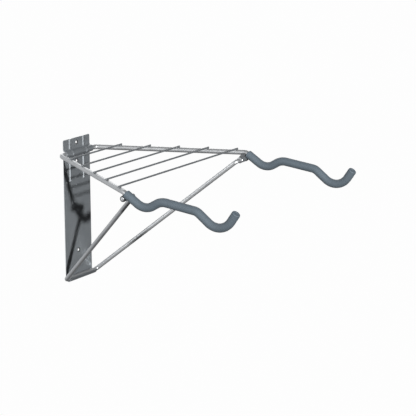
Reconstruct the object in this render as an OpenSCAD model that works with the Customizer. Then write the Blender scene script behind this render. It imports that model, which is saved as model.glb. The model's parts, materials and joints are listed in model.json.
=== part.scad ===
// Folding wall rack: two padded hooks on swinging arms, a wire shelf across
// the arms, and a brace that stands in a trough at the foot of the wall plate.
// Origin: centre of the wall plate's back face, which lies on the wall.
// X runs along the wall, -Y points into the room, +Z is up. Millimetres.

/* [Wall plate] */
// Width of the wall plate
plate_w = 102; // [92:1:110]
// Height of the wall plate, trough included
plate_h = 350; // [300:5:430]
// Thickness of the sheet
sheet_t = 1.8; // [1.5:0.1:2.5]
// Radius of the two top corners
corner_r = 4; // [1:0.5:8]
// Drop from the top edge to the axis of the arms' hinge rod
rod_drop = 34.5; // [30:0.5:45]
// Radius of the folds that lead into the hinge channel
fold_r = 4; // [2:0.5:6]

/* [Ribs] */
// Width of each pressed rib
rib_w = 10; // [6:0.5:14]
// Height of each pressed rib
rib_h = 2.2; // [1:0.1:3]
// Distance of each rib from the centre line
rib_x = 26.5; // [18:0.5:32]
// Drop from the top edge to the ribs' lower ends
rib_drop = 108; // [70:1:130]

/* [Screw holes] */
// Diameter of each screw hole
screw_d = 6.5; // [4:0.5:8]
// Diameter of each countersink at the front face
sink_d = 11; // [8.5:0.5:13]
// Drop from the top edge to the top hole
top_hole_drop = 12; // [8:0.5:16]
// Drop from the top edge to the middle hole
mid_hole_drop = 58; // [55:0.5:70]
// Rise from the bottom edge to the low hole
low_hole_rise = 69; // [40:1:100]

/* [Trough] */
// Gap all round between the brace's rod and the trough
trough_gap = 0.8; // [0.6:0.1:1.5]
// Lean of the trough's lip away from the wall, in degrees
lip_lean = 40; // [38:1:44]
// Length of the lip's straight part
lip_len = 10.5; // [8:0.5:12]

/* [Arms] */
// Diameter of the arms' round bar
arm_d = 12; // [10:0.5:14]
// Distance between the two hooks, centre to centre
hook_spacing = 500; // [400:5:600]
// Distance from the wall to the front bend of each arm
arm_reach = 328; // [270:1:390]
// Fall of each arm from the hinge rod to the front bend
arm_fall = 10.5; // [0:0.5:16]
// Distance from the plate's edge to the corner of the hinge rod's bend
rod_over = 14; // [11:0.5:18]
// Bend radius beside the wall plate
rod_bend_r = 14; // [12:0.5:18]
// Bend radius where the arm turns into the hook
front_bend_r = 15; // [8:1:15]

/* [Hooks] */
// Depth of the small dip below the front bend
small_dip = 34; // [26:1:38]
// Depth of the large dip below the front bend
large_dip = 64; // [54:1:72]
// Distance from the front bend to the corner of the small dip
small_dip_at = 57; // [50:0.5:64]
// Distance from the front bend to the corner of the crest
crest_at = 100; // [93:0.5:108]
// Depth of the crest below the front bend
crest_dip = 8.5; // [0:0.5:12]
// Distance from the front bend to the foot of the long slope
slope_at = 195; // [175:1:200]
// Depth of the long slope's foot below the front bend
slope_dip = 18; // [10:0.5:24]
// Distance from the front bend to the corner of the large dip
large_dip_at = 259; // [252:1:275]
// Distance from the front bend to the tip
tip_at = 294.5; // [285:0.5:330]
// Depth of the tip below the front bend
tip_dip = 12.8; // [0:0.2:20]

/* [Shelf] */
// Diameter of the shelf wires
wire_d = 4.2; // [2.5:0.1:5]
// Distance from the wall to the first wire
wire_start = 61.5; // [50:0.5:70]
// Distance from the last wire to the front bend of the arms
wire_end_gap = 20.5; // [18:0.5:40]
// Length of wire beyond each arm's centre line
wire_over = 5; // [2:0.5:6]

/* [Brace] */
// Diameter of the brace's round bar
brace_d = 10.5; // [8:0.5:12]
// Distance from the plate's edge to the corner of the brace's foot bend
foot_over = 10; // [9:0.5:15]
// Bend radius of the brace, at the foot and at the pivots
brace_bend_r = 12; // [10:0.5:14]

/* [Pivots] */
// Wall of the pivot sleeves
sleeve_wall = 1.4; // [1:0.1:2.5]
// Length of the pivot sleeves
sleeve_len = 24; // [16:0.5:28]
// Clear height between the arm and the sleeve, filled by the lug
lug_gap = 2.4; // [1.5:0.1:5]
// Thickness of the lugs
lug_t = 6; // [4:0.5:8]
// Height of the lugs at their inner end, above the sleeve
lug_foot = 1; // [0.5:0.1:2]
// Width of the lugs' top, measured from the arm's centre line
lug_top = 9; // [7:0.5:14]
// Width of the thrust washers' rim beyond the sleeves
washer_rim = 0.8; // [0.3:0.1:2]
// Thickness of the thrust washers
washer_t = 1.6; // [1:0.1:2.5]
// Wall of the end caps
cap_wall = 1.9; // [1:0.1:2.5]
// Length of the end caps
cap_len = 6; // [4:0.5:8]

/* [Grips] */
// Wall of the foam grips
foam_wall = 3.85; // [2.5:0.05:5]
// Distance from the corner of the front bend to the grip's end
grip_start = 6.5; // [6.5:0.5:20]
// Thickness of the grips' end discs
disc_t = 3; // [2:0.5:5]
// Diameter of the hollow in each end disc
dimple_d = 10; // [2:0.5:12]

/* [Hidden] */

// fits and gaps
channel_gap = 0.25; // between the hinge rod and its channel
wall_gap = 0.2;     // between the hinge rod and the wall
notch_gap = 0.35;   // between the end caps and the notch they need in the grips
pin_gap = 0.08;     // radial running clearance of the brace's pins in the sleeves
side_gap = 0.5;     // sideways play between neighbours on a pin
foam_gap = 0.15;    // radial gap between bar and grip
touch = 0.05;       // gap left between pieces that are welded or glued
washer_gap = 0.1;   // radial gap between pin and washer
pivot_back = 2;     // from the front bend's corner back to the pivots' axis
sleeve_set = 0.5;   // from the arm's centre line in to the sleeve's outer end
bend_clear = 0.9;   // spare length between the brace's upper bend and its washer
tip_cover = 2;      // foam beyond the end of the bar
disc_step = 0.4;    // how much narrower the end discs are than the grips
dimple_h = 1.2;     // depth of the hollow in each end disc
cap_dome = 2;       // height of the end caps' sloping rim
rib_sink = 0.5;     // how far the ribs reach into the sheet they are pressed from
rib_over_bump = 1.6; // height of the ribs where they cross the bump
eps = 1;            // how far a cutting shape runs past what it cuts

// facets
bar_sides = 20;     // sides of a bar's swept stretch
bar_step = 9;       // degrees of bend from one ring to the next
arc_step = 10;      // degrees between the points of a fold
round_fn = 64;

// key places: distances from the wall are positive here and turned to -Y below
top_z = plate_h / 2;
rod_z = top_z - rod_drop;
rod_out = arm_d / 2 + wall_gap;
hook_x = hook_spacing / 2;
rod_half = plate_w / 2 + rod_over;
foot_half = plate_w / 2 + foot_over;
sleeve_bore = brace_d + 2 * pin_gap;
sleeve_d = sleeve_bore + 2 * sleeve_wall;
washer_d = sleeve_d + 2 * washer_rim;
cap_d = brace_d + 2 * cap_wall;
foam_bore = arm_d + 2 * foam_gap;
foam_d = foam_bore + 2 * foam_wall;
bend_z = rod_z - arm_fall;
channel_r = arm_d / 2 + channel_gap;
trough_r = brace_d / 2 + trough_gap;
foot_out = sheet_t + trough_r;
foot_z = -plate_h / 2 + sheet_t + trough_r;
pivot_out = arm_reach - pivot_back;
pivot_z = bend_z - arm_d / 2 - lug_gap - sleeve_d / 2;
sleeve_x = hook_x - sleeve_set - sleeve_len; // inner end of each sleeve
washer_x = sleeve_x - side_gap - washer_t;   // inner face of each washer
cap_x = hook_x - sleeve_set + side_gap;      // mouth of each end cap
brace_corner_x = washer_x - bend_clear - brace_bend_r;
pin_end_x = cap_x + cap_len - cap_dome;

// the hook's corners in front of the front bend: [forward, up]
hook_corners = [[small_dip_at, -small_dip], [crest_at, -crest_dip], [slope_at, -slope_dip],
  [large_dip_at, -large_dip], [tip_at, -tip_dip]];
hook_radii = [40, 42, 29, 42, 0];

function unit(v) = v / norm(v);
function turn(a, b) = acos(max(-1, min(1, a * b)));
function arc(c, r, a0, a1) = let(m = max(1, ceil(abs(a1 - a0) / arc_step)))
  [for (k = [0 : m]) let(a = a0 + (a1 - a0) * k / m) c + r * [cos(a), sin(a)]];

// right-hand half of the arms' centre line, from inside the hinge rod to the tip
arm_dir = unit([hook_x - rod_half, rod_out - arm_reach, -arm_fall]);
rod_end_x = rod_half - rod_bend_r * tan(turn([1, 0, 0], arm_dir) / 2);
front = [hook_x, -arm_reach, bend_z];
hook_pts = [for (c = hook_corners) front + [0, -c[0], c[1]]];
arm_pts = concat([[rod_end_x - 6, -rod_out, rod_z], [rod_half, -rod_out, rod_z], front], hook_pts);
arm_radii = concat([0, rod_bend_r, front_bend_r], hook_radii);

// right-hand half of the brace's centre line, from inside the foot rod to the pin
foot_pt = [foot_half, -foot_out, foot_z];
pivot_pt = [brace_corner_x, -pivot_out, pivot_z];
leg_dir = unit(pivot_pt - foot_pt);
leg_trim = brace_bend_r * tan(turn([1, 0, 0], leg_dir) / 2);
foot_end_x = foot_half - leg_trim;
pin_start_x = brace_corner_x + leg_trim;
brace_pts = [[foot_end_x - 6, -foot_out, foot_z], foot_pt, pivot_pt, [pin_start_x + 6, -pivot_out, pivot_z]];

// the grip's centre line: hook corners, from the bare stretch to just past the bar's tip
hook_dir = unit(hook_pts[0] - front);
tip_dir = unit(hook_pts[4] - hook_pts[3]);
tip = hook_pts[4];
grip_pts = concat([front + hook_dir * grip_start], [for (i = [0 : 3]) hook_pts[i]], [tip + tip_dir * tip_cover]);
grip_radii = concat([0], hook_radii);
tip_lean = turn([0, 0, 1], tip_dir);

// one bend of a bar: points and directions along the arc that rounds corner b
function bend(a, b, c, r) = let(u = unit(b - a), v = unit(c - b), t = turn(u, v),
    w = unit(v - u * (u * v)), s = b - u * r * tan(t / 2), m = ceil(t / bar_step))
  [for (k = [0 : m]) let(q = t * k / m) [s + u * r * sin(q) + w * r * (1 - cos(q)), u * cos(q) + w * sin(q)]];
function centre_line(p, r) = let(e = len(p) - 1) concat(
  [[p[0], unit(p[1] - p[0])]],
  [for (i = [1 : e - 1]) each bend(p[i - 1], p[i], p[i + 1], r[i])],
  [[p[e], unit(p[e] - p[e - 1])]]);
// side directions carried along the line without twist
function carried(c, i = 0, s = [0, 0, 1]) = i == len(c) ? []
  : let(t = unit(s - c[i][1] * (s * c[i][1]))) concat([t], carried(c, i + 1, t));
function ring(p, side, r) = [for (k = [0 : bar_sides - 1]) let(a = 360 * k / bar_sides)
  p[0] + r * (side * cos(a) + cross(p[1], side) * sin(a))];
function walls(m, first, flip) = [for (i = [0 : m - 2], k = [0 : bar_sides - 1])
  let(k2 = (k + 1) % bar_sides, a = first + i * bar_sides, b = a + bar_sides)
  flip ? [a + k, a + k2, b + k2, b + k] : [a + k, b + k, b + k2, a + k2]];

// round bar swept along a centre line
module bar(line, d) {
  side = carried(line);
  m = len(line);
  last = (m - 1) * bar_sides;
  points = [for (i = [0 : m - 1]) each ring(line[i], side[i], d / 2)];
  faces = concat(walls(m, 0, false), [[for (k = [0 : bar_sides - 1]) k]],
    [[for (k = [bar_sides - 1 : -1 : 0]) last + k]]);
  polyhedron(points, faces, convexity = 10);
}

// round tube swept along a centre line, open at both ends
module tube(line, od, id) {
  side = carried(line);
  m = len(line);
  inner = m * bar_sides;
  last = (m - 1) * bar_sides;
  points = concat([for (i = [0 : m - 1]) each ring(line[i], side[i], od / 2)],
    [for (i = [0 : m - 1]) each ring(line[i], side[i], id / 2)]);
  mouths = [for (k = [0 : bar_sides - 1]) let(k2 = (k + 1) % bar_sides)
    each [[k, k2, inner + k2, inner + k], [last + k2, last + k, inner + last + k, inner + last + k2]]];
  polyhedron(points, concat(walls(m, 0, false), walls(m, inner, true), mouths), convexity = 10);
}

module along_x(x0, x1, out, z, d) {
  translate([x0, -out, z]) rotate([0, 90, 0]) cylinder(d = d, h = x1 - x0, $fn = round_fn);
}
module both_sides() {
  children();
  mirror([1, 0, 0]) children();
}
// an outline drawn as [distance from the wall, height], run along X
module run_x(width) {
  rotate([90, 0, -90]) linear_extrude(width, center = true) children();
}

// front outline of the hinge channel's bump, from above to below
function bump(r, base) = let(f = base + fold_r, d = sqrt(pow(r + fold_r, 2) - pow(f - rod_out, 2)),
    a = atan2(d, f - rod_out))
  concat(arc([f, rod_z + d], fold_r, 180, 180 + a), arc([rod_out, rod_z], r, a, -a),
    arc([f, rod_z - d], fold_r, 180 - a, 180));

module plate_outline() {
  c = [foot_out, foot_z];
  lip = lip_len * [sin(lip_lean), cos(lip_lean)];
  inner = arc(c, trough_r, 180, 360 - lip_lean);
  outer = arc(c, trough_r + sheet_t, 360 - lip_lean, 180);
  polygon(concat([[0, top_z], [sheet_t, top_z]], bump(channel_r + sheet_t, sheet_t), inner,
    [inner[len(inner) - 1] + lip, outer[0] + lip], outer));
}

// a pressed rib: an arched bar down the plate and a raised band over the bump
module rib() {
  r = (pow(rib_w / 2, 2) + pow(rib_h, 2)) / (2 * rib_h);
  half = asin(rib_w / 2 / r);
  foot = rib_w / 2 - rib_sink;
  crest = arc([0, r - rib_h - sheet_t], r, 270 - half, 270 + half);
  translate([0, 0, top_z - rib_drop]) linear_extrude(rib_drop)
    polygon(concat(crest, [[foot, rib_sink - sheet_t], [-foot, rib_sink - sheet_t]]));
  run_x(rib_w * 0.7) polygon(bump(channel_r + sheet_t + rib_over_bump, sheet_t - rib_sink));
}

module screw_hole(z) {
  translate([0, eps, z]) rotate([90, 0, 0]) cylinder(d = screw_d, h = sheet_t + 2 * eps, $fn = round_fn);
  translate([0, -sheet_t * 0.4, z]) rotate([90, 0, 0])
    cylinder(d1 = screw_d, d2 = sink_d, h = sheet_t * 0.6 + 0.01, $fn = round_fn);
}

module top_corner_cut() {
  translate([plate_w / 2 - corner_r, eps, top_z - corner_r]) rotate([90, 0, 0])
    linear_extrude(sheet_t + 2 * eps) difference() {
      square(corner_r + eps);
      circle(corner_r, $fn = round_fn);
    }
}

module wall_plate() color([0.52, 0.54, 0.56]) difference() {
  union() {
    run_x(plate_w) plate_outline();
    both_sides() translate([rib_x, 0, 0]) rib();
  }
  along_x(-plate_w, plate_w, rod_out, rod_z, 2 * channel_r);
  translate([-plate_w, -rod_out, rod_z - channel_r - channel_gap])
    cube([2 * plate_w, rod_out + eps, 2 * (channel_r + channel_gap)]);
  screw_hole(top_z - top_hole_drop);
  screw_hole(top_z - mid_hole_drop);
  screw_hole(low_hole_rise - plate_h / 2);
  both_sides() top_corner_cut();
}

module arm_bar() color([0.72, 0.73, 0.75]) {
  along_x(-rod_end_x, rod_end_x, rod_out, rod_z, arm_d);
  both_sides() bar(centre_line(arm_pts, arm_radii), arm_d - 0.04);
}

// shelf wires lie across the arms, the first nearest the wall
wire_pitch = (arm_reach - wire_end_gap - wire_start) / 4;
module shelf_wire(i) color([0.66, 0.67, 0.69]) {
  out = wire_start + wire_pitch * (i - 1);
  share = (out - rod_out) / (arm_reach - rod_out);
  half = rod_half + (hook_x - rod_half) * share + wire_over;
  along_x(-half, half, out, rod_z - arm_fall * share + (arm_d + wire_d) / 2 + touch, wire_d);
}

module pivot_lug() color([0.6, 0.61, 0.63]) difference() {
  translate([0, lug_t / 2 - pivot_out, 0]) rotate([90, 0, 0]) linear_extrude(lug_t)
    polygon([[sleeve_x, pivot_z], [sleeve_x, pivot_z + sleeve_d / 2 + lug_foot],
      [hook_x - lug_top, bend_z], [hook_x - sleeve_set, bend_z], [hook_x - sleeve_set, pivot_z]]);
  along_x(sleeve_x - eps, hook_x + eps, pivot_out, pivot_z, sleeve_d + 2 * touch);
  bar(centre_line([for (i = [1 : 3]) arm_pts[i]], [0, front_bend_r, 0]), arm_d + 4 * touch);
}

module pivot_sleeve() color([0.62, 0.63, 0.65]) difference() {
  along_x(sleeve_x, sleeve_x + sleeve_len, pivot_out, pivot_z, sleeve_d);
  along_x(sleeve_x - eps, sleeve_x + sleeve_len + eps, pivot_out, pivot_z, sleeve_bore);
}

module foam_grip() color([0.36, 0.42, 0.47]) difference() {
  tube(centre_line(grip_pts, grip_radii), foam_d, foam_bore);
  along_x(sleeve_x - eps, cap_x + cap_len + notch_gap, pivot_out, pivot_z, cap_d + 2 * notch_gap);
}

module grip_end() color([0.34, 0.4, 0.45])
  translate(tip + tip_dir * (tip_cover + touch)) rotate([tip_lean, 0, 0]) difference() {
    cylinder(d = foam_d - disc_step, h = disc_t, $fn = round_fn);
    translate([0, 0, disc_t - dimple_h]) cylinder(d = dimple_d, h = dimple_h + eps, $fn = round_fn);
  }

module brace_bar() color([0.74, 0.75, 0.77]) {
  along_x(-foot_end_x, foot_end_x, foot_out, foot_z, brace_d);
  both_sides() {
    along_x(pin_start_x, pin_end_x, pivot_out, pivot_z, brace_d);
    bar(centre_line(brace_pts, [0, brace_bend_r, brace_bend_r, 0]), brace_d - 0.04);
  }
}

module thrust_washer() color([0.7, 0.71, 0.73]) difference() {
  along_x(washer_x, washer_x + washer_t, pivot_out, pivot_z, washer_d);
  along_x(washer_x - eps, washer_x + washer_t + eps, pivot_out, pivot_z, brace_d + 2 * washer_gap);
}

module end_cap() color([0.55, 0.56, 0.58]) difference() {
  union() {
    along_x(cap_x, cap_x + cap_len - cap_dome, pivot_out, pivot_z, cap_d);
    translate([cap_x + cap_len - cap_dome, -pivot_out, pivot_z]) rotate([0, 90, 0])
      cylinder(d1 = cap_d, d2 = cap_d - 4 * cap_dome, h = cap_dome, $fn = round_fn);
  }
  along_x(cap_x - eps, pin_end_x + touch, pivot_out, pivot_z, brace_d + 2 * touch);
}

wall_plate();
arm_bar();
shelf_wire(1);  // shelf_wire_1
shelf_wire(2);  // shelf_wire_2
shelf_wire(3);  // shelf_wire_3
shelf_wire(4);  // shelf_wire_4
shelf_wire(5);  // shelf_wire_5
mirror([1, 0, 0]) pivot_lug();  // pivot_lug_left
pivot_lug();  // pivot_lug_right
mirror([1, 0, 0]) pivot_sleeve();  // pivot_sleeve_left
pivot_sleeve();  // pivot_sleeve_right
mirror([1, 0, 0]) foam_grip();  // foam_grip_left
foam_grip();  // foam_grip_right
mirror([1, 0, 0]) grip_end();  // grip_end_left
grip_end();  // grip_end_right
brace_bar();
mirror([1, 0, 0]) thrust_washer();  // thrust_washer_left
thrust_washer();  // thrust_washer_right
mirror([1, 0, 0]) end_cap();  // end_cap_left
end_cap();  // end_cap_right
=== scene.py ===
"""Folding wall hook rack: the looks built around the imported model.

The rack is a pressed steel plate on the wall, a bent bar with two padded hooks that
swings in a channel of the plate, a shelf of welded wires, and a brace that stands in
a trough at the plate's foot. Lengths are in metres.
"""
import json
import math

import bmesh
import bpy
import numpy as np
from mathutils import Matrix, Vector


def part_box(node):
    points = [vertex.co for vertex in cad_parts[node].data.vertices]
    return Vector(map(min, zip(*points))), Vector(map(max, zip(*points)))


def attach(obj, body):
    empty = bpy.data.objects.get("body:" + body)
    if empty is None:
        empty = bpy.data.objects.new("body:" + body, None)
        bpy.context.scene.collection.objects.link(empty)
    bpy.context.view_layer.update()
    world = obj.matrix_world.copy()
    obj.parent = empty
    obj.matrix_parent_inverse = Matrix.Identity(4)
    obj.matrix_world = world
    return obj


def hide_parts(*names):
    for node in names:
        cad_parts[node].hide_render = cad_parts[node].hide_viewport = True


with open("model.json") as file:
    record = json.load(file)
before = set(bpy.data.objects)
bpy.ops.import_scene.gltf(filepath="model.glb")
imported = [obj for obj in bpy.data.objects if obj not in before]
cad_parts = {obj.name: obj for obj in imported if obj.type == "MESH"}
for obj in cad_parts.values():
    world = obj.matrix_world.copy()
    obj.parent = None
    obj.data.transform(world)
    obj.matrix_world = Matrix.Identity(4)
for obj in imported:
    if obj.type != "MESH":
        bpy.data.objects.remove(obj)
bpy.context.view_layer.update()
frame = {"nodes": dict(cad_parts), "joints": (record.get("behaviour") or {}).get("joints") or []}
MM = 0.001
joints = {j["name"]: j for j in frame["joints"]}
rod = np.array(joints["arms_fold"]["pos_m"])       # axis of the arms' rod in its channel
pivot = np.array(joints["brace_swing"]["pos_m"])   # axis of the brace's two pins


# Camera: a long lens above the rack and left of its front, looking down a little. The frame
# is shifted a trifle off the lens's axis.
LENS, SENSOR = 162.58, 36.0
LENS_SHIFT = (-0.00776, 0.00264)
CAMERA_TURN, CAMERA_TILT, CAMERA_ROLL = -56.13, 13.83, -0.26      # degrees
CAMERA_PLACE = (-3.50856, -2.74761, 1.08863)


def camera_axes(turn, tilt, roll):
    """Right, up and back directions of a camera: turned about the vertical, tilted down,
    then rolled about its own line of sight."""
    right = np.array([math.cos(turn), math.sin(turn), 0.0])
    back = np.array([math.sin(turn) * math.cos(tilt), -math.cos(turn) * math.cos(tilt), math.sin(tilt)])
    up = np.cross(back, right)
    return (math.cos(roll) * right + math.sin(roll) * up,
            math.cos(roll) * up - math.sin(roll) * right, back)


camera_data = bpy.data.cameras.new("camera")
camera_data.sensor_width = SENSOR
camera_data.lens = LENS
camera_data.shift_x, camera_data.shift_y = LENS_SHIFT
camera_data.clip_end = 60.0
camera = bpy.data.objects.new("camera", camera_data)
bpy.context.scene.collection.objects.link(camera)
axes = camera_axes(*(math.radians(a) for a in (CAMERA_TURN, CAMERA_TILT, CAMERA_ROLL)))
camera_matrix = np.eye(4)
camera_matrix[:3, :3] = np.array(axes).T
camera_matrix[:3, 3] = CAMERA_PLACE
camera.matrix_world = Matrix(camera_matrix.tolist())
bpy.context.scene.camera = camera
bpy.context.scene.view_settings.view_transform = "Standard"

# Studio: a pale room, bright behind and to the left of the rack and dim in front and to its
# right. The key shines from the left front and a little above, and draws the shadows on the
# plate. Behind everything the camera sees plain white.
SKY_SIDES = [(-1.0, 0.05), (-0.3, 0.07), (0.0, 0.22), (0.35, 0.66), (1.0, 0.86)]
SKY_HEIGHT = [(-0.95, 0.06), (-0.6, 0.74), (-0.25, 1.0), (0.5, 1.0), (1.0, 0.55)]
BRIGHT_SIDE = (-0.35, 0.93, 0.0)
MATTE_DIMMING = 0.82        # share of the room's light kept off matte surfaces
FLOOR_Z, FLOOR_HALF = -1.1, 12.0
world = bpy.data.worlds.new("studio")
bpy.context.scene.world = world
world.use_nodes = True
wn, wl = world.node_tree.nodes, world.node_tree.links
wn.clear()
sky_place = wn.new("ShaderNodeTexCoord")


def sky_part(direction, stops):
    """Grey of the room by how far a ray points in a direction: stops pair the dot product of
    ray and direction, from -1 to 1, with a grey."""
    dot = wn.new("ShaderNodeVectorMath")
    dot.operation = "DOT_PRODUCT"
    dot.inputs[1].default_value = direction
    half = wn.new("ShaderNodeMath")
    half.operation = "MULTIPLY_ADD"
    half.inputs[1].default_value = 0.5
    half.inputs[2].default_value = 0.5
    table = wn.new("ShaderNodeValToRGB")
    marks = table.color_ramp.elements
    while len(marks) < len(stops):
        marks.new(0.5)
    for mark, (reach, grey) in zip(marks, stops):
        mark.position = reach * 0.5 + 0.5
        mark.color = (grey, grey * 1.01, grey * 1.02, 1)
    wl.new(sky_place.outputs["Generated"], dot.inputs[0])
    wl.new(dot.outputs["Value"], half.inputs[0])
    wl.new(half.outputs[0], table.inputs["Fac"])
    return table.outputs["Color"]


sky_sides = sky_part(BRIGHT_SIDE, SKY_SIDES)
sky_height = sky_part((0.0, 0.0, 1.0), SKY_HEIGHT)
sky_both = wn.new("ShaderNodeMix")
sky_both.data_type = "RGBA"
sky_both.blend_type = "MULTIPLY"
sky_both.inputs["Factor"].default_value = 1.0
wl.new(sky_sides, sky_both.inputs["A"])
wl.new(sky_height, sky_both.inputs["B"])
rays = wn.new("ShaderNodeLightPath")
soften = wn.new("ShaderNodeMath")
soften.operation = "MULTIPLY_ADD"
soften.inputs[1].default_value = -MATTE_DIMMING
soften.inputs[2].default_value = 1.0
room = wn.new("ShaderNodeBackground")
seen = wn.new("ShaderNodeBackground")
seen.inputs["Color"].default_value = (1, 1, 1, 1)
either = wn.new("ShaderNodeMixShader")
out = wn.new("ShaderNodeOutputWorld")
wl.new(sky_both.outputs["Result"], room.inputs["Color"])
wl.new(rays.outputs["Is Diffuse Ray"], soften.inputs[0])
wl.new(soften.outputs[0], room.inputs["Strength"])
wl.new(rays.outputs["Is Camera Ray"], either.inputs["Fac"])
wl.new(room.outputs[0], either.inputs[1])
wl.new(seen.outputs[0], either.inputs[2])
wl.new(either.outputs[0], out.inputs["Surface"])


def light(name, kind, towards, energy, **settings):
    """A lamp at place that shines along the direction towards. The other settings are put on
    the lamp's data by their own names."""
    data = bpy.data.lights.new(name, kind)
    data.energy = energy
    place = settings.pop("place", (0.0, 0.0, 0.0))
    for key, value in settings.items():
        setattr(data, key, value)
    lamp = bpy.data.objects.new(name, data)
    back = -np.array(towards, float) / np.linalg.norm(towards)
    side = np.cross((0.0, 0.0, 1.0), back)
    side /= np.linalg.norm(side)
    turn = np.eye(4)
    turn[:3, 0], turn[:3, 1], turn[:3, 2], turn[:3, 3] = side, np.cross(back, side), back, place
    lamp.matrix_world = Matrix(turn.tolist())
    bpy.context.scene.collection.objects.link(lamp)
    return lamp


light("key", "SUN", (0.71, 1.0, -0.35), 4.0, angle=math.radians(1.8))
light("rim", "AREA", (2.3, -1.0, -1.3), 18.0, place=(-2.3, 0.75, 1.35),
      shape="RECTANGLE", size=1.2, size_y=1.2)
light("far_fill", "AREA", (-1.8, -1.6, -0.9), 12.0, place=(1.9, 1.5, 0.9),
      shape="RECTANGLE", size=1.5, size_y=1.5)
# a panel low in front that only glossy surfaces mirror: it lights the flanks of the ribs
gleam = light("gleam", "AREA", (0.75, 3.3, 0.5), 50.0, place=(-0.75, -3.3, -0.5),
              shape="RECTANGLE", size=2.3, size_y=2.2)
gleam.visible_diffuse = False

floor_mesh = bpy.data.meshes.new("floor")
floor_corners = [(x * FLOOR_HALF, y * FLOOR_HALF, FLOOR_Z) for x, y in ((-1, -1), (1, -1), (1, 1), (-1, 1))]
floor_mesh.from_pydata(floor_corners, [], [(0, 1, 2, 3)])
floor = bpy.data.objects.new("floor", floor_mesh)
floor_white = bpy.data.materials.new("floor_white")
floor_white.use_nodes = True
floor_nodes = floor_white.node_tree.nodes
floor_nodes.clear()
floor_glow = floor_nodes.new("ShaderNodeEmission")
floor_glow.inputs["Color"].default_value = (0.985, 0.985, 0.985, 1)
floor_out = floor_nodes.new("ShaderNodeOutputMaterial")
floor_white.node_tree.links.new(floor_glow.outputs[0], floor_out.inputs["Surface"])
floor_mesh.materials.append(floor_white)
floor.visible_diffuse = False
floor.visible_glossy = False
floor.visible_shadow = False
bpy.context.scene.collection.objects.link(floor)


# Wall plate: one sheet of 1.8 mm steel, pressed with two ribs, folded over the arms' rod
# and curled at the foot into a trough for the brace, then punched, countersunk and
# sprayed semi-gloss silver-grey.
PLATE_W = 102 * MM
PLATE_TOP = 175 * MM
SHEET = 1.8 * MM
CORNER_R = 4 * MM
FOLD_R = 4 * MM
BUMP_R = 8.05 * MM          # outside of the fold over the rod
TROUGH_R = 6.05 * MM        # inside of the trough
LIP_LEAN = math.radians(40)
LIP_LEN = 10.5 * MM
RIB_X, RIB_HALF, RIB_H, RIB_ON_BUMP = 26.5 * MM, 5 * MM, 2.2 * MM, 1.6 * MM
RIB_END = PLATE_TOP - 108 * MM
HOLE_Z = (PLATE_TOP - 12 * MM, PLATE_TOP - 58 * MM, -PLATE_TOP + 69 * MM)
HOLE_R, SINK_R, SINK_DEPTH = 3.25 * MM, 5.5 * MM, 1.08 * MM
HOLE_PATCH = 8 * MM         # half side of the square of sheet worked round each hole
RIM = 0.35 * MM             # the sheared edge is rounded this much
GRID = 1.0 * MM             # spacing of the points on the sheet


def sheet_profile(s):
    """Front of the sheet at length s from its top edge, as (out from the wall, height) and
    the direction to its back. Straight, a fold of radius FOLD_R away from the wall, an arc
    of radius BUMP_R round the rod, the same fold back, straight, the trough's arc, the lip.
    Each stretch starts where the one before ends, so the line has no corner."""
    out, up = -rod[1], rod[2]
    reach = SHEET + FOLD_R - out
    rise = math.sqrt((BUMP_R + FOLD_R) ** 2 - reach ** 2)
    swing = math.atan2(rise, reach)
    trough_out = SHEET + TROUGH_R
    trough_up = -PLATE_TOP + trough_out
    curl = math.pi - LIP_LEAN
    # each stretch: length, centre or start, radius (0 when straight), first angle, turn
    stretches = [
        (PLATE_TOP - up - rise, (SHEET, PLATE_TOP), 0, 0, 0),
        (FOLD_R * swing, (SHEET + FOLD_R, up + rise), FOLD_R, math.pi, swing),
        (BUMP_R * 2 * swing, (out, up), BUMP_R, swing, -2 * swing),
        (FOLD_R * swing, (SHEET + FOLD_R, up - rise), FOLD_R, math.pi - swing, swing),
        (up - rise - trough_up, (SHEET, up - rise), 0, 0, 0),
        (TROUGH_R * curl, (trough_out, trough_up), TROUGH_R, math.pi, curl),
    ]
    place = np.zeros((len(s), 2))
    back = np.zeros((len(s), 2))
    start = 0.0
    for length, at, radius, first, turn in stretches:
        here = (s >= start - 1e-12) & (s <= start + length + 1e-12)
        run = s[here] - start
        if radius == 0:
            place[here] = np.stack([np.full(len(run), at[0]), at[1] - run], 1)
            back[here] = (-1.0, 0.0)
        else:
            angle = first + turn * run / length
            ray = np.stack([np.cos(angle), np.sin(angle)], 1)
            place[here] = np.array(at) + radius * ray
            back[here] = ray if radius != BUMP_R else -ray
        start += length
    here = s > start - 1e-12
    run = s[here] - start
    angle = math.pi + curl
    end = np.array([trough_out, trough_up]) + TROUGH_R * np.array([math.cos(angle), math.sin(angle)])
    along = np.array([math.sin(LIP_LEAN), math.cos(LIP_LEAN)])
    place[here] = end + run[:, None] * along
    back[here] = (math.cos(angle), math.sin(angle))
    return place, back, start, [x[0] for x in stretches]


_, _, LIP_START, STRETCHES = sheet_profile(np.zeros(1))
PLATE_RUN = LIP_START + LIP_LEN


def smooth_step(t):
    """0 below 0, 1 above 1, and three t squared less two t cubed between."""
    t = np.clip(t, 0, 1)
    return t * t * (3 - 2 * t)


def rib_height(x, place):
    """Height of the pressed ribs: a round-ended bead either side of the centre line with even
    flanks and a narrow flat top, lower where it crosses the fold over the rod."""
    across = np.abs(np.abs(x) - RIB_X)
    below = np.clip(RIB_END + RIB_HALF - place[..., 1], 0, None)
    far = np.sqrt(across ** 2 + below ** 2) / RIB_HALF
    on_bump = smooth_step((place[..., 0] - SHEET) / (4 * MM))
    high = RIB_H + (RIB_ON_BUMP - RIB_H) * on_bump
    rise = np.clip((1 - far) / 0.8, 0, 1)
    return high * (0.6 * rise + 0.4 * smooth_step(rise))


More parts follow.
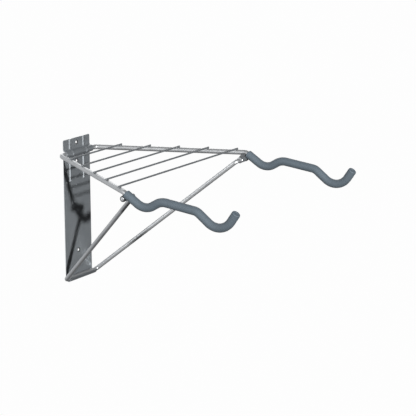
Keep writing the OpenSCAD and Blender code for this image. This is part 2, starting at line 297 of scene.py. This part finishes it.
def sheet_points(x, s, depth):
    """Points of the sheet at width x and length s, depth below its front, ribs pressed in,
    with the two top corners rounded by narrowing the rows there."""
    place, back, _, _ = sheet_profile(s.ravel())
    place = place.reshape(s.shape + (2,))
    back = back.reshape(s.shape + (2,))
    lift = rib_height(x, place)
    spot = place + back * (depth - lift)[..., None]
    fall = np.clip(PLATE_TOP - place[..., 1], 0, CORNER_R)
    half = PLATE_W / 2 - CORNER_R + np.sqrt(CORNER_R ** 2 - (CORNER_R - fall) ** 2)
    return np.stack([x * half / (PLATE_W / 2), -spot[..., 0], spot[..., 1]], -1)


def lines_with(stops, step):
    """Sorted values that hit every stop, evenly spaced at about step between them."""
    stops = np.array(sorted(stops))
    parts = []
    for a, b in zip(stops[:-1], stops[1:]):
        parts.append(np.linspace(a, b, max(2, int(round((b - a) / step)) + 1))[:-1])
    return np.append(np.concatenate(parts), stops[-1])


def grid_faces(rows, cols, first, flip):
    """Quads of a grid of rows times cols points numbered row by row from first, turned over
    when flip is set."""
    i, j = np.meshgrid(np.arange(rows - 1), np.arange(cols - 1), indexing="ij")
    a = (first + i * cols + j).ravel()
    quads = np.stack([a, a + 1, a + cols + 1, a + cols], 1)
    return quads[:, ::-1] if flip else quads


SMOOTH_BELOW = math.radians(35)     # edges sharper than this stay crisp


def make_piece(name, points, faces):
    """Mesh object from points and faces, doubles merged, normals turned outward, shaded smooth
    except across edges sharper than SMOOTH_BELOW."""
    mesh = bpy.data.meshes.new(name)
    mesh.from_pydata(np.asarray(points).reshape(-1, 3).tolist(), [], [list(map(int, f)) for f in faces])
    piece = bpy.data.objects.new(name, mesh)
    bpy.context.scene.collection.objects.link(piece)
    work = bmesh.new()
    work.from_mesh(mesh)
    bmesh.ops.remove_doubles(work, verts=work.verts, dist=2e-6)
    bmesh.ops.dissolve_degenerate(work, edges=work.edges, dist=1e-7)
    bmesh.ops.recalc_face_normals(work, faces=work.faces)
    work.to_mesh(mesh)
    work.free()
    mesh.shade_smooth()
    mesh.set_sharp_from_angle(angle=SMOOTH_BELOW)
    return piece


# where the holes lie along the sheet: above the fold, or past the fold's run and its foot
past_fold = sum(STRETCHES[:4])
fold_foot_z = 2 * rod[2] - (PLATE_TOP - STRETCHES[0])
hole_s = [PLATE_TOP - z if z > rod[2] else past_fold + fold_foot_z - z for z in HOLE_Z]
starts = list(np.cumsum([0.0] + STRETCHES))
s_stops = set(np.round(starts + [PLATE_RUN, CORNER_R], 9))
for at in hole_s:
    s_stops |= set(np.round([at - HOLE_PATCH, at + HOLE_PATCH], 9))
x_stops = [-PLATE_W / 2, -RIB_X - RIB_HALF, -RIB_X, -RIB_X + RIB_HALF, -HOLE_PATCH, HOLE_PATCH,
           RIB_X - RIB_HALF, RIB_X, RIB_X + RIB_HALF, PLATE_W / 2]
row_s = lines_with(s_stops, GRID)
row_s = np.unique(np.append(row_s, CORNER_R * (1 - np.cos(np.linspace(0, math.pi / 2, 9)))))
col_x = lines_with(x_stops, GRID)
plate_points, plate_faces = [], []
count = 0
# front and back of the sheet, with a square left open round each hole
for depth, flip in ((0.0, False), (SHEET, True)):
    grid_s, grid_x = np.meshgrid(row_s, col_x, indexing="ij")
    plate_points.append(sheet_points(grid_x, grid_s, np.full(grid_s.shape, depth)).reshape(-1, 3))
    quads = grid_faces(len(row_s), len(col_x), count, flip)
    centre = (row_s[:-1] + row_s[1:])[:, None] / 2 + 0 * col_x[:-1]
    middle = (col_x[:-1] + col_x[1:])[None, :] / 2 + 0 * row_s[:-1, None]
    keep = np.ones(centre.shape, bool)
    for at in hole_s:
        keep &= ~((np.abs(centre - at) < HOLE_PATCH) & (np.abs(middle) < HOLE_PATCH))
    plate_faces.append(quads[keep.ravel()])
    count += grid_s.size
# the sheared edge, from the front's outline to the back's
rows, cols = len(row_s), len(col_x)
front = np.arange(rows * cols).reshape(rows, cols)
edge = np.concatenate([front[0, :-1], front[:-1, -1], front[-1, :0:-1], front[:0:-1, 0]])
after = np.roll(edge, -1)
plate_faces.append(np.stack([edge, after, after + rows * cols, edge + rows * cols], 1))
# each hole: rings from the square to the countersink, down its cone and through the sheet,
# then out to the square on the back
for at in hole_s:
    near_x = col_x[np.abs(col_x) <= HOLE_PATCH + 1e-9]
    near_s = row_s[np.abs(row_s - at) <= HOLE_PATCH + 1e-9]
    square = np.concatenate([
        np.stack([near_x[:-1], np.full(len(near_x) - 1, near_s[0])], 1),
        np.stack([np.full(len(near_s) - 1, near_x[-1]), near_s[:-1]], 1),
        np.stack([near_x[:0:-1], np.full(len(near_x) - 1, near_s[-1])], 1),
        np.stack([np.full(len(near_s) - 1, near_x[0]), near_s[:0:-1]], 1)])
    away = square - (0.0, at)
    ray = away / np.linalg.norm(away, axis=1)[:, None]
    share = np.linspace(0, 1, 6)[:, None, None]
    worked = square * (1 - share) + (ray * SINK_R + (0.0, at)) * share
    rings = [(r, 0.0) for r in worked]
    rings += [(ray * HOLE_R + (0.0, at), SINK_DEPTH), (ray * HOLE_R + (0.0, at), SHEET)]
    worked = (ray * HOLE_R + (0.0, at)) * (1 - share) + square * share
    rings += [(r, SHEET) for r in worked[1:]]
    turns = len(square)
    ring_points = [sheet_points(r[:, 0], r[:, 1], np.full(turns, d)) for r, d in rings]
    plate_points.append(np.concatenate(ring_points))
    i, k = np.meshgrid(np.arange(len(rings) - 1), np.arange(turns), indexing="ij")
    a, b = count + i * turns + k, count + i * turns + (k + 1) % turns
    plate_faces.append(np.stack([a, b, b + turns, a + turns], -1).reshape(-1, 4))
    count += len(rings) * turns
wall_plate = make_piece("plate_sheet", np.concatenate(plate_points), np.concatenate(plate_faces))
edge_round = wall_plate.modifiers.new("sheared_edge", "BEVEL")
edge_round.width = RIM
edge_round.segments = 2
edge_round.limit_method = "ANGLE"
edge_round.angle_limit = math.radians(50)
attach(wall_plate, "wall_frame")
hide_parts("wall_plate")


def new_material(name):
    """A Principled material with its node and link lists at hand."""
    material = bpy.data.materials.new(name)
    material.use_nodes = True
    nodes, links = material.node_tree.nodes, material.node_tree.links
    return material, nodes, links, nodes["Principled BSDF"]


def noise(nodes, links, scale, detail=3.0):
    """Noise over the piece's own coordinates, scale features to the metre."""
    texture = nodes.new("ShaderNodeTexNoise")
    texture.inputs["Scale"].default_value = scale
    texture.inputs["Detail"].default_value = detail
    where = nodes.new("ShaderNodeTexCoord")
    links.new(where.outputs["Object"], texture.inputs["Vector"])
    return texture.outputs["Fac"]


def ramp(nodes, links, value, stops):
    """Colour or grey looked up from a value between the given stops."""
    table = nodes.new("ShaderNodeValToRGB")
    marks = table.color_ramp.elements
    while len(marks) < len(stops):
        marks.new(0.5)
    for mark, (position, colour) in zip(marks, stops):
        mark.position = position
        mark.color = (*colour, 1)
    links.new(value, table.inputs["Fac"])
    return table.outputs["Color"]


def relief(nodes, links, shader, *layers):
    """Bump made of layers, each a height, a strength and a depth, one on the other."""
    normal = None
    for height, strength, depth in layers:
        bump = nodes.new("ShaderNodeBump")
        bump.inputs["Strength"].default_value = strength
        bump.inputs["Distance"].default_value = depth
        links.new(height, bump.inputs["Height"])
        if normal is not None:
            links.new(normal, bump.inputs["Normal"])
        normal = bump.outputs["Normal"]
    links.new(normal, shader.inputs["Normal"])


def sprayed(name, dark, light_colour, metal, gloss, grain=1.0):
    """Sprayed silver paint: fine flake and orange peel, as rough as grain says, in a smooth
    coat. Its tone runs from dark to light_colour and its roughness over the pair gloss."""
    material, nodes, links, shader = new_material(name)
    cloud = noise(nodes, links, 14.0, 4.0)
    links.new(ramp(nodes, links, cloud, [(0.3, dark), (0.7, light_colour)]), shader.inputs["Base Color"])
    peel = noise(nodes, links, 520.0, 2.0)
    flake = noise(nodes, links, 2600.0, 1.0)
    low, high = gloss
    links.new(ramp(nodes, links, noise(nodes, links, 60.0, 5.0), [(0.3, (low,) * 3), (0.7, (high,) * 3)]),
              shader.inputs["Roughness"])
    relief(nodes, links, shader, (peel, 0.1 * grain, 0.00025), (flake, 0.05 * grain, 0.00006))
    shader.inputs["Metallic"].default_value = metal
    shader.inputs["Coat Weight"].default_value = 0.15
    shader.inputs["Coat Roughness"].default_value = 0.18
    return material


plate_paint = sprayed("plate_paint", (0.225, 0.245, 0.262), (0.27, 0.29, 0.307), 0.45, (0.28, 0.36))
wall_plate.data.materials.append(plate_paint)
# near-black steel that paints shade: the shaded cones and bores of the holes and the dark ring round each
# cap's crown
bare_steel, nodes, links, shader = new_material("bare_steel")
tone = ramp(nodes, links, noise(nodes, links, 1200.0),
            [(0.3, (0.05, 0.052, 0.055)), (0.7, (0.085, 0.088, 0.09))])
links.new(tone, shader.inputs["Base Color"])
relief(nodes, links, shader, (noise(nodes, links, 2400.0), 0.3, 0.0002))
shader.inputs["Metallic"].default_value = 0.6
shader.inputs["Roughness"].default_value = 0.5
wall_plate.data.materials.append(bare_steel)


def face_centres(piece):
    """Middle of every face of a piece, one row each."""
    centres = np.zeros(len(piece.data.polygons) * 3)
    piece.data.polygons.foreach_get("center", centres)
    return centres.reshape(-1, 3)


# the cones and bores of the holes are painted near-black: painted shade inside the holes
centres = face_centres(wall_plate)
cut = np.zeros(len(centres), dtype=np.int32)
for z in HOLE_Z:
    cut |= (np.hypot(centres[:, 0], centres[:, 2] - z) < SINK_R - 0.1 * MM).astype(np.int32)
wall_plate.data.polygons.foreach_set("material_index", cut)


# Arms: one 12 mm steel bar, cold bent in twelve places from hook to hook and sprayed light
# silver. Its middle is the rod that turns in the plate's channel.
HOOK_X = 250 * MM
ARM_D = 12 * MM
ROD_X = 65 * MM             # corner where the rod becomes the arm
FRONT = np.array([HOOK_X, -328 * MM, 130 * MM])     # corner where the arm becomes the hook
# the hook's four corners and its end, as (further from the wall, higher) than FRONT
HOOK = np.array([(57, -34), (100, -8.5), (195, -18), (259, -64), (294.5, -12.8)]) * MM
ARM_BENDS = np.array([14, 15, 40, 42, 29, 42]) * MM     # radii, from the rod outward
hook_corners = FRONT + np.stack([np.zeros(5), -HOOK[:, 0], HOOK[:, 1]], 1)
rod_corner = np.array([ROD_X, rod[1], rod[2]])


def rounded_line(corners, radii, step=math.radians(3.0), straight=0.02):
    """Points and directions along straight runs joined by arcs: at each inner corner the
    runs stop short by radius times the tangent of half the turn, and an arc joins them."""
    place, way = [], []
    corners = np.asarray(corners, float)
    cursor = corners[0]
    for k in range(1, len(corners)):
        run = corners[k] - corners[k - 1]
        u = run / np.linalg.norm(run)
        if k < len(corners) - 1:
            v = corners[k + 1] - corners[k]
            v = v / np.linalg.norm(v)
            turn = math.acos(float(np.clip(u @ v, -1, 1)))
            stop = corners[k] - u * radii[k - 1] * math.tan(turn / 2)
        else:
            stop = corners[k]
        length = np.linalg.norm(stop - cursor)
        t = np.linspace(0, 1, max(2, int(length / straight) + 1))[:, None]
        place.append(cursor + (stop - cursor) * t)
        way.append(np.repeat(u[None], len(t), 0))
        if k < len(corners) - 1:
            w = v - u * (u @ v)
            w = w / np.linalg.norm(w)
            q = np.linspace(0, turn, max(3, int(math.ceil(turn / step)) + 1))[1:-1, None]
            place.append(stop + radii[k - 1] * (u * np.sin(q) + w * (1 - np.cos(q))))
            way.append(u * np.cos(q) + w * np.sin(q))
            cursor = stop + radii[k - 1] * (u * math.sin(turn) + w * (1 - math.cos(turn)))
    return np.concatenate(place), np.concatenate(way)


def swept_grid(place, way, radius, sides, reference=(0.0, 0.0, 1.0)):
    """Rings of points round a line: each ring lies square to the line's direction, its first
    point is towards the reference direction, and radius may differ from ring to ring."""
    side = np.asarray(reference) - way * (way @ np.asarray(reference))[:, None]
    side /= np.linalg.norm(side, axis=1)[:, None]
    other = np.cross(way, side)
    angle = np.linspace(0, 2 * math.pi, sides, endpoint=False)
    radius = np.broadcast_to(radius, len(place))
    return place[:, None] + radius[:, None, None] * (
        side[:, None] * np.cos(angle)[None, :, None] + other[:, None] * np.sin(angle)[None, :, None])


def tube_faces(rings, sides, ends=True):
    """Quads round a stack of rings, and a fan of triangles to a middle point at each end.
    The two middle points follow the rings."""
    i, k = np.meshgrid(np.arange(rings - 1), np.arange(sides), indexing="ij")
    a, b = i * sides + k, i * sides + (k + 1) % sides
    faces = np.stack([a, b, b + sides, a + sides], -1).reshape(-1, 4).tolist()
    if ends:
        k = np.arange(sides)
        n = (k + 1) % sides
        middle, last = rings * sides, (rings - 1) * sides
        faces += np.stack([n, k, np.full(sides, middle)], 1).tolist()
        faces += np.stack([last + k, last + n, np.full(sides, middle + 1)], 1).tolist()
    return faces


def swept_piece(name, place, way, radius, sides=40, shaped=None):
    """Closed bar: rings along the line with a middle point at both ends. The function shaped,
    when given, moves the points before the mesh is made."""
    grid = swept_grid(place, way, radius, sides)
    points = np.concatenate([grid.reshape(-1, 3), place[:1], place[-1:]])
    if shaped:
        points = shaped(points)
    return make_piece(name, points, tube_faces(len(place), sides))


half_line = [rod_corner, FRONT, *hook_corners]
mirror = np.array([-1.0, 1.0, 1.0])
arm_corners = [p * mirror for p in half_line[::-1]] + half_line
arm_radii = list(ARM_BENDS[::-1]) + list(ARM_BENDS)
arm_place, arm_way = rounded_line(arm_corners, arm_radii)
bar = swept_piece("arm_bar_bent", arm_place, arm_way, ARM_D / 2)
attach(bar, "arms")
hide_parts("arm_bar")
bar_paint = sprayed("bar_paint", (0.43, 0.44, 0.45), (0.5, 0.51, 0.52), 0.65, (0.34, 0.42), 0.08)
bar.data.materials.append(bar_paint)


# Shelf: five 4.2 mm steel wires laid across the arms and spot welded on top of them, cut
# square a little outside the arms, with the cut edges broken, and sprayed darker silver.
WIRE_NODES = ["shelf_wire_%d" % i for i in range(1, 6)]
WIRE_TRIM = 0.35 * MM       # how far the cut edges are broken
WIRE_SIDES = 24
NUGGET = np.array([4.4, 3.4, 1.3]) * MM             # half sizes of a weld: along the wire, across it, up
NUGGET_SIDES, NUGGET_RINGS = 24, 11
wire_paint = sprayed("wire_paint", (0.18, 0.193, 0.204), (0.225, 0.24, 0.253), 0.3, (0.34, 0.42), 0.4)


def revolved_piece(name, centre, axis, profile, sides=48):
    """Solid of revolution: profile is (length along the axis, radius) from one end to the
    other, turned about the axis through centre and closed by a middle point at both ends."""
    profile = np.asarray(profile, float)
    axis = np.asarray(axis, float)
    place = np.asarray(centre) + profile[:, :1] * axis
    reference = (0.0, 0.0, 1.0) if abs(axis[2]) < 0.9 else (1.0, 0.0, 0.0)
    grid = swept_grid(place, np.repeat(axis[None], len(place), 0), profile[:, 1], sides, reference)
    points = np.concatenate([grid.reshape(-1, 3), place[:1], place[-1:]])
    return make_piece(name, points, tube_faces(len(place), sides))


def ring_piece(name, centre, axis, profile, sides=48):
    """Ring of revolution: profile is a closed loop of (length along the axis, radius)."""
    profile = np.asarray(list(profile) + [profile[0]], float)
    axis = np.asarray(axis, float)
    place = np.asarray(centre) + profile[:, :1] * axis
    grid = swept_grid(place, np.repeat(axis[None], len(place), 0), profile[:, 1], sides)
    return make_piece(name, grid.reshape(-1, 3), tube_faces(len(place), sides, ends=False))


def weld_nugget(middle, phase):
    """Points of a squashed ball of weld: level rings from bottom to top, each an ellipse whose
    radius swells and shrinks three times round by a fourteenth."""
    turn = np.linspace(0, 2 * math.pi, NUGGET_SIDES, endpoint=False)
    turn, lift = np.meshgrid(turn, np.linspace(-math.pi / 2, math.pi / 2, NUGGET_RINGS))
    wobble = 1 + 0.07 * np.sin(3 * turn + phase)
    unit = [wobble * np.cos(lift) * np.cos(turn), wobble * np.cos(lift) * np.sin(turn), np.sin(lift)]
    return np.stack(unit, -1).reshape(-1, 3) * NUGGET + middle


weld_points, weld_faces = [], []
nugget_faces = np.array(tube_faces(NUGGET_RINGS, NUGGET_SIDES, ends=False))
for node in WIRE_NODES:
    low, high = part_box(node)
    half = high[0]
    wire_r = (high[2] - low[2]) / 2
    middle = (0.0, (low[1] + high[1]) / 2, (low[2] + high[2]) / 2)
    shank = [(x, wire_r) for x in np.linspace(-half + 0.01, half - 0.01, 24)]
    wire = revolved_piece(node.replace("shelf", "welded"), middle, (1, 0, 0), [
        (-half, wire_r - WIRE_TRIM), (-half + WIRE_TRIM, wire_r), *shank,
        (half - WIRE_TRIM, wire_r), (half, wire_r - WIRE_TRIM)], WIRE_SIDES)
    wire.data.materials.append(wire_paint)
    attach(wire, "arms")
    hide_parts(node)
    # the arms run straight from rod_corner to FRONT, so the crossing lies at the same share
    share = (-middle[1] + rod[1]) / (-FRONT[1] + rod[1])
    arm_x = rod_corner[0] + (FRONT[0] - rod_corner[0]) * share
    for hand in (-1, 1):
        spot = np.array([hand * arm_x, middle[1], middle[2] - wire_r + 0.05 * MM])
        weld_faces.append(nugget_faces + sum(len(part) for part in weld_points))
        weld_points.append(weld_nugget(spot, middle[1] * 900 + hand))
welds = make_piece("shelf_welds", np.concatenate(weld_points), np.concatenate(weld_faces))
weld_steel, nodes, links, shader = new_material("weld_steel")
tone = ramp(nodes, links, noise(nodes, links, 900.0, 4.0),
            [(0.3, (0.16, 0.168, 0.176)), (0.7, (0.27, 0.28, 0.29))])
links.new(tone, shader.inputs["Base Color"])
relief(nodes, links, shader, (noise(nodes, links, 1400.0, 3.0), 0.5, 0.0003))
shader.inputs["Metallic"].default_value = 0.5
shader.inputs["Roughness"].default_value = 0.42
welds.data.materials.append(weld_steel)
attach(welds, "arms")


# Brace: one 10.5 mm steel bar bent to a V and sprayed like the arms. Its foot rod stands in
# the trough, and its ends, bent outward, are the pins that run in the sleeves under the arms.
BRACE_D, BRACE_BEND = 10.5 * MM, 12 * MM
FOOT_X, PIN_BEND_X, PIN_END_X = 61 * MM, 210.5 * MM, 254 * MM
foot = np.array([FOOT_X, -(SHEET + TROUGH_R), -PLATE_TOP + SHEET + TROUGH_R])
brace_corner = np.array([PIN_BEND_X, pivot[1], pivot[2]])
pin_end = np.array([PIN_END_X, pivot[1], pivot[2]])
half_brace = [foot, brace_corner, pin_end]
brace_corners = [p * mirror for p in half_brace[::-1]] + half_brace
brace_place, brace_way = rounded_line(brace_corners, [BRACE_BEND] * 4)
brace = swept_piece("brace_bar_bent", brace_place, brace_way, BRACE_D / 2)
brace.data.materials.append(bar_paint)
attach(brace, "brace")
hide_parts("brace_bar")


# Pivots: on each side a short sleeve of tube hangs from the arm on a welded lug. The
# brace's pin runs in it, with a thrust washer inside and a pressed-on domed cap outside.
SLEEVE_R, SLEEVE_BORE, SLEEVE_CUT = 6.73 * MM, 5.33 * MM, 0.4 * MM
WASHER_R, WASHER_BORE, WASHER_CUT = 7.53 * MM, 5.35 * MM, 0.3 * MM
CAP_R, CAP_BORE, CAP_BODY_R, CAP_CROWN_R = 7.15 * MM, 5.3 * MM, 6.7 * MM, 4.6 * MM
CAP_FLANGE, CAP_SHOULDER = 1.5 * MM, 4.4 * MM       # lengths from the cap's inner end
CAP_CUT, CAP_ROOF = 0.35 * MM, 1.2 * MM
ALMOST_AXIS = 0.001 * MM
bright_steel, nodes, links, shader = new_material("bright_steel")
tone = ramp(nodes, links, noise(nodes, links, 240.0, 4.0),
            [(0.3, (0.5, 0.51, 0.52)), (0.7, (0.62, 0.63, 0.64))])
links.new(tone, shader.inputs["Base Color"])
links.new(ramp(nodes, links, noise(nodes, links, 700.0, 3.0), [(0.3, (0.24,) * 3), (0.7, (0.36,) * 3)]),
          shader.inputs["Roughness"])
relief(nodes, links, shader, (noise(nodes, links, 1500.0, 2.0), 0.12, 0.0001))
shader.inputs["Metallic"].default_value = 0.9


def start_of(node, hand):
    """Inner end of a piece on the pin, as a point on the pin's axis, and its length."""
    low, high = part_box(node)
    inner = min(abs(low[0]), abs(high[0]))
    return np.array([hand * inner, pivot[1], pivot[2]]), abs(high[0] - low[0])


for name, hand in (("left", -1), ("right", 1)):
    way = np.array([hand, 0.0, 0.0])
    at, length = start_of("pivot_sleeve_" + name, hand)
    sleeve = ring_piece("sleeve_tube_" + name, at, way, [
        (0, SLEEVE_BORE + SLEEVE_CUT), (0, SLEEVE_R - SLEEVE_CUT),
        (SLEEVE_CUT, SLEEVE_R), (length - SLEEVE_CUT, SLEEVE_R),
        (length, SLEEVE_R - SLEEVE_CUT), (length, SLEEVE_BORE + SLEEVE_CUT),
        (length - SLEEVE_CUT, SLEEVE_BORE), (SLEEVE_CUT, SLEEVE_BORE)])
    sleeve.data.materials.append(wire_paint)
    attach(sleeve, "arms")
    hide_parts("pivot_sleeve_" + name)

    at, length = start_of("thrust_washer_" + name, hand)
    washer = ring_piece("washer_" + name, at, way, [
        (0, WASHER_BORE), (0, WASHER_R - WASHER_CUT), (WASHER_CUT, WASHER_R),
        (length - WASHER_CUT, WASHER_R), (length, WASHER_R - WASHER_CUT), (length, WASHER_BORE)])
    washer.data.materials.append(bright_steel)
    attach(washer, "brace")
    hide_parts("thrust_washer_" + name)

    at, length = start_of("end_cap_" + name, hand)
    # flange, plain body, shoulder, then a crown that rounds off towards the axis
    dome = [(CAP_SHOULDER + (length - CAP_SHOULDER) * math.sin(a), CAP_CROWN_R * math.cos(a) ** 0.6)
            for a in np.linspace(0, math.pi / 2, 12)[:-1]]
    cap = ring_piece("domed_cap_" + name, at, way, [
        (0, CAP_BORE), (0, CAP_R - 0.25 * MM), (0.25 * MM, CAP_R), (CAP_FLANGE - CAP_CUT, CAP_R),
        (CAP_FLANGE, CAP_R - CAP_CUT), (CAP_FLANGE, CAP_BODY_R), (CAP_SHOULDER - 0.3 * MM, CAP_BODY_R),
        (CAP_SHOULDER, CAP_BODY_R - 0.3 * MM), (CAP_SHOULDER, CAP_CROWN_R + 0.05 * MM), *dome,
        (length, ALMOST_AXIS), (length - CAP_ROOF, ALMOST_AXIS), (length - CAP_ROOF - 0.7 * MM, CAP_BORE)])
    cap.data.materials.append(bright_steel)
    # the flange and body round the crown are painted near-black: painted shade and dark reflection, a dark
    # ring round the bright crown
    cap.data.materials.append(bare_steel)
    cap_centres = face_centres(cap)
    painted_shade_ring = np.hypot(cap_centres[:, 1] - pivot[1], cap_centres[:, 2] - pivot[2]) > CAP_CROWN_R
    cap.data.polygons.foreach_set("material_index", painted_shade_ring.astype(np.int32))
    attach(cap, "brace")
    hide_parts("end_cap_" + name)

    lug = frame["nodes"]["pivot_lug_" + name]
    lug.data.materials.clear()
    lug.data.materials.append(weld_steel)


# Grips: a sleeve of closed-cell foam pushed over each hook, with a disc of the same foam
# glued over the end. The foam is matte, with fine cells, and not quite even in thickness.
FOAM_R, FOAM_BORE = 10 * MM, 6.15 * MM
FOAM_ROUND = 1.1 * MM       # round of the mouth's edge
FOAM_UNEVEN = 0.12 * MM     # how much thinner the foam gets in places
GRIP_START = 6.5 * MM       # from the corner FRONT to the mouth
OVERHANG = 2 * MM           # the sleeve runs this far past the end of the bar
NOTCH_R, NOTCH_END = 7.5 * MM, 258.5 * MM      # the foam gives way round the sleeve and the cap
DISC_T, DISC_R, DISC_ROUND = 3 * MM, 9.8 * MM, 2.4 * MM
HOLLOW_R, HOLLOW_DEPTH = 4.6 * MM, 1.1 * MM    # shallow hollow in the disc's face
GLUE = 0.05 * MM
foam, nodes, links, shader = new_material("foam")
mottle = noise(nodes, links, 38.0, 5.0)
cells = nodes.new("ShaderNodeTexVoronoi")
cells.inputs["Scale"].default_value = 1500.0
cell_place = nodes.new("ShaderNodeTexCoord")
links.new(cell_place.outputs["Object"], cells.inputs["Vector"])
links.new(ramp(nodes, links, mottle, [(0.25, (0.112, 0.142, 0.168)), (0.75, (0.126, 0.159, 0.188))]),
          shader.inputs["Base Color"])
relief(nodes, links, shader, (cells.outputs["Distance"], 0.08, 0.0003),
       (noise(nodes, links, 420.0, 5.0), 0.05, 0.0004))
shader.inputs["Roughness"].default_value = 0.62
shader.inputs["Specular IOR Level"].default_value = 0.35
shader.inputs["Sheen Weight"].default_value = 0.06
shader.inputs["Sheen Roughness"].default_value = 0.5


def dented(points):
    """Pushes points out of the round space that the sleeve and the cap need: those nearer to
    the pivot's axis than NOTCH_R move straight away from it, up to NOTCH_R, and less so
    over the last 2 mm before NOTCH_END."""
    spare = np.clip((NOTCH_END - np.abs(points[:, 0])) / (2 * MM), 0, 1)
    away = points[:, 1:] - pivot[1:]
    near = np.linalg.norm(away, axis=1)
    push = np.maximum(1, NOTCH_R * np.sqrt(spare) / np.maximum(near, 1e-9))
    return np.concatenate([points[:, :1], pivot[1:] + away * push[:, None]], axis=1)


quarter = np.linspace(0, math.pi / 2, 7)
for name, hand in (("left", -1), ("right", 1)):
    side = np.array([hand, 1.0, 1.0])
    first = hook_corners[0] - FRONT
    start = FRONT + first / np.linalg.norm(first) * GRIP_START
    last = hook_corners[4] - hook_corners[3]
    tip_way = last / np.linalg.norm(last)
    tip = hook_corners[4] + tip_way * OVERHANG
    line = [start, *hook_corners[:4], tip]
    place, way = rounded_line([p * side for p in line], ARM_BENDS[2:], math.radians(2.0), 0.0012)
    run = np.concatenate([[0.0], np.cumsum(np.linalg.norm(np.diff(place, axis=0), axis=1))])
    # the mouth: flat face, then its rounded edge, both on the straight first stretch
    mouth = [(0.0, FOAM_BORE), (0.0, FOAM_R - FOAM_ROUND)]
    mouth += [(FOAM_ROUND * (1 - math.cos(a)), FOAM_R - FOAM_ROUND + FOAM_ROUND * math.sin(a))
              for a in quarter[1:]]
    inside = run > FOAM_ROUND + 1e-6
    wave = np.sin(run[inside] * 410) * np.sin(run[inside] * 97 + hand)
    radii = np.minimum(FOAM_R + FOAM_UNEVEN * wave, FOAM_R)
    ring_place = [place[0] + way[0] * x for x, _ in mouth] + list(place[inside]) + [place[-1]] * 2
    ring_way = [way[0]] * len(mouth) + list(way[inside]) + [way[-1]] * 2
    ring_radius = [r for _, r in mouth] + list(radii) + [FOAM_BORE] * 2
    grip = swept_piece("grip_" + name, np.array(ring_place), np.array(ring_way),
                       np.array(ring_radius), 48, dented)
    grip.data.materials.append(foam)
    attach(grip, "arms")
    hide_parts("foam_grip_" + name)

    disc_rim = [(DISC_T - DISC_ROUND * (1 - math.sin(a)), DISC_R - DISC_ROUND * (1 - math.cos(a)))
                for a in quarter]
    disc = revolved_piece("grip_end_disc_" + name, tip * side + tip_way * side * GLUE, tip_way * side, [
        (0, DISC_R - 0.5 * MM), (0.25 * MM, DISC_R - 0.1 * MM), (0.6 * MM, DISC_R), *disc_rim,
        (DISC_T, HOLLOW_R + 0.5 * MM), (DISC_T - 0.15 * MM, HOLLOW_R + 0.1 * MM),
        (DISC_T - HOLLOW_DEPTH, HOLLOW_R - 0.4 * MM)])
    disc.data.materials.append(foam)
    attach(disc, "arms")
    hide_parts("grip_end_" + name)
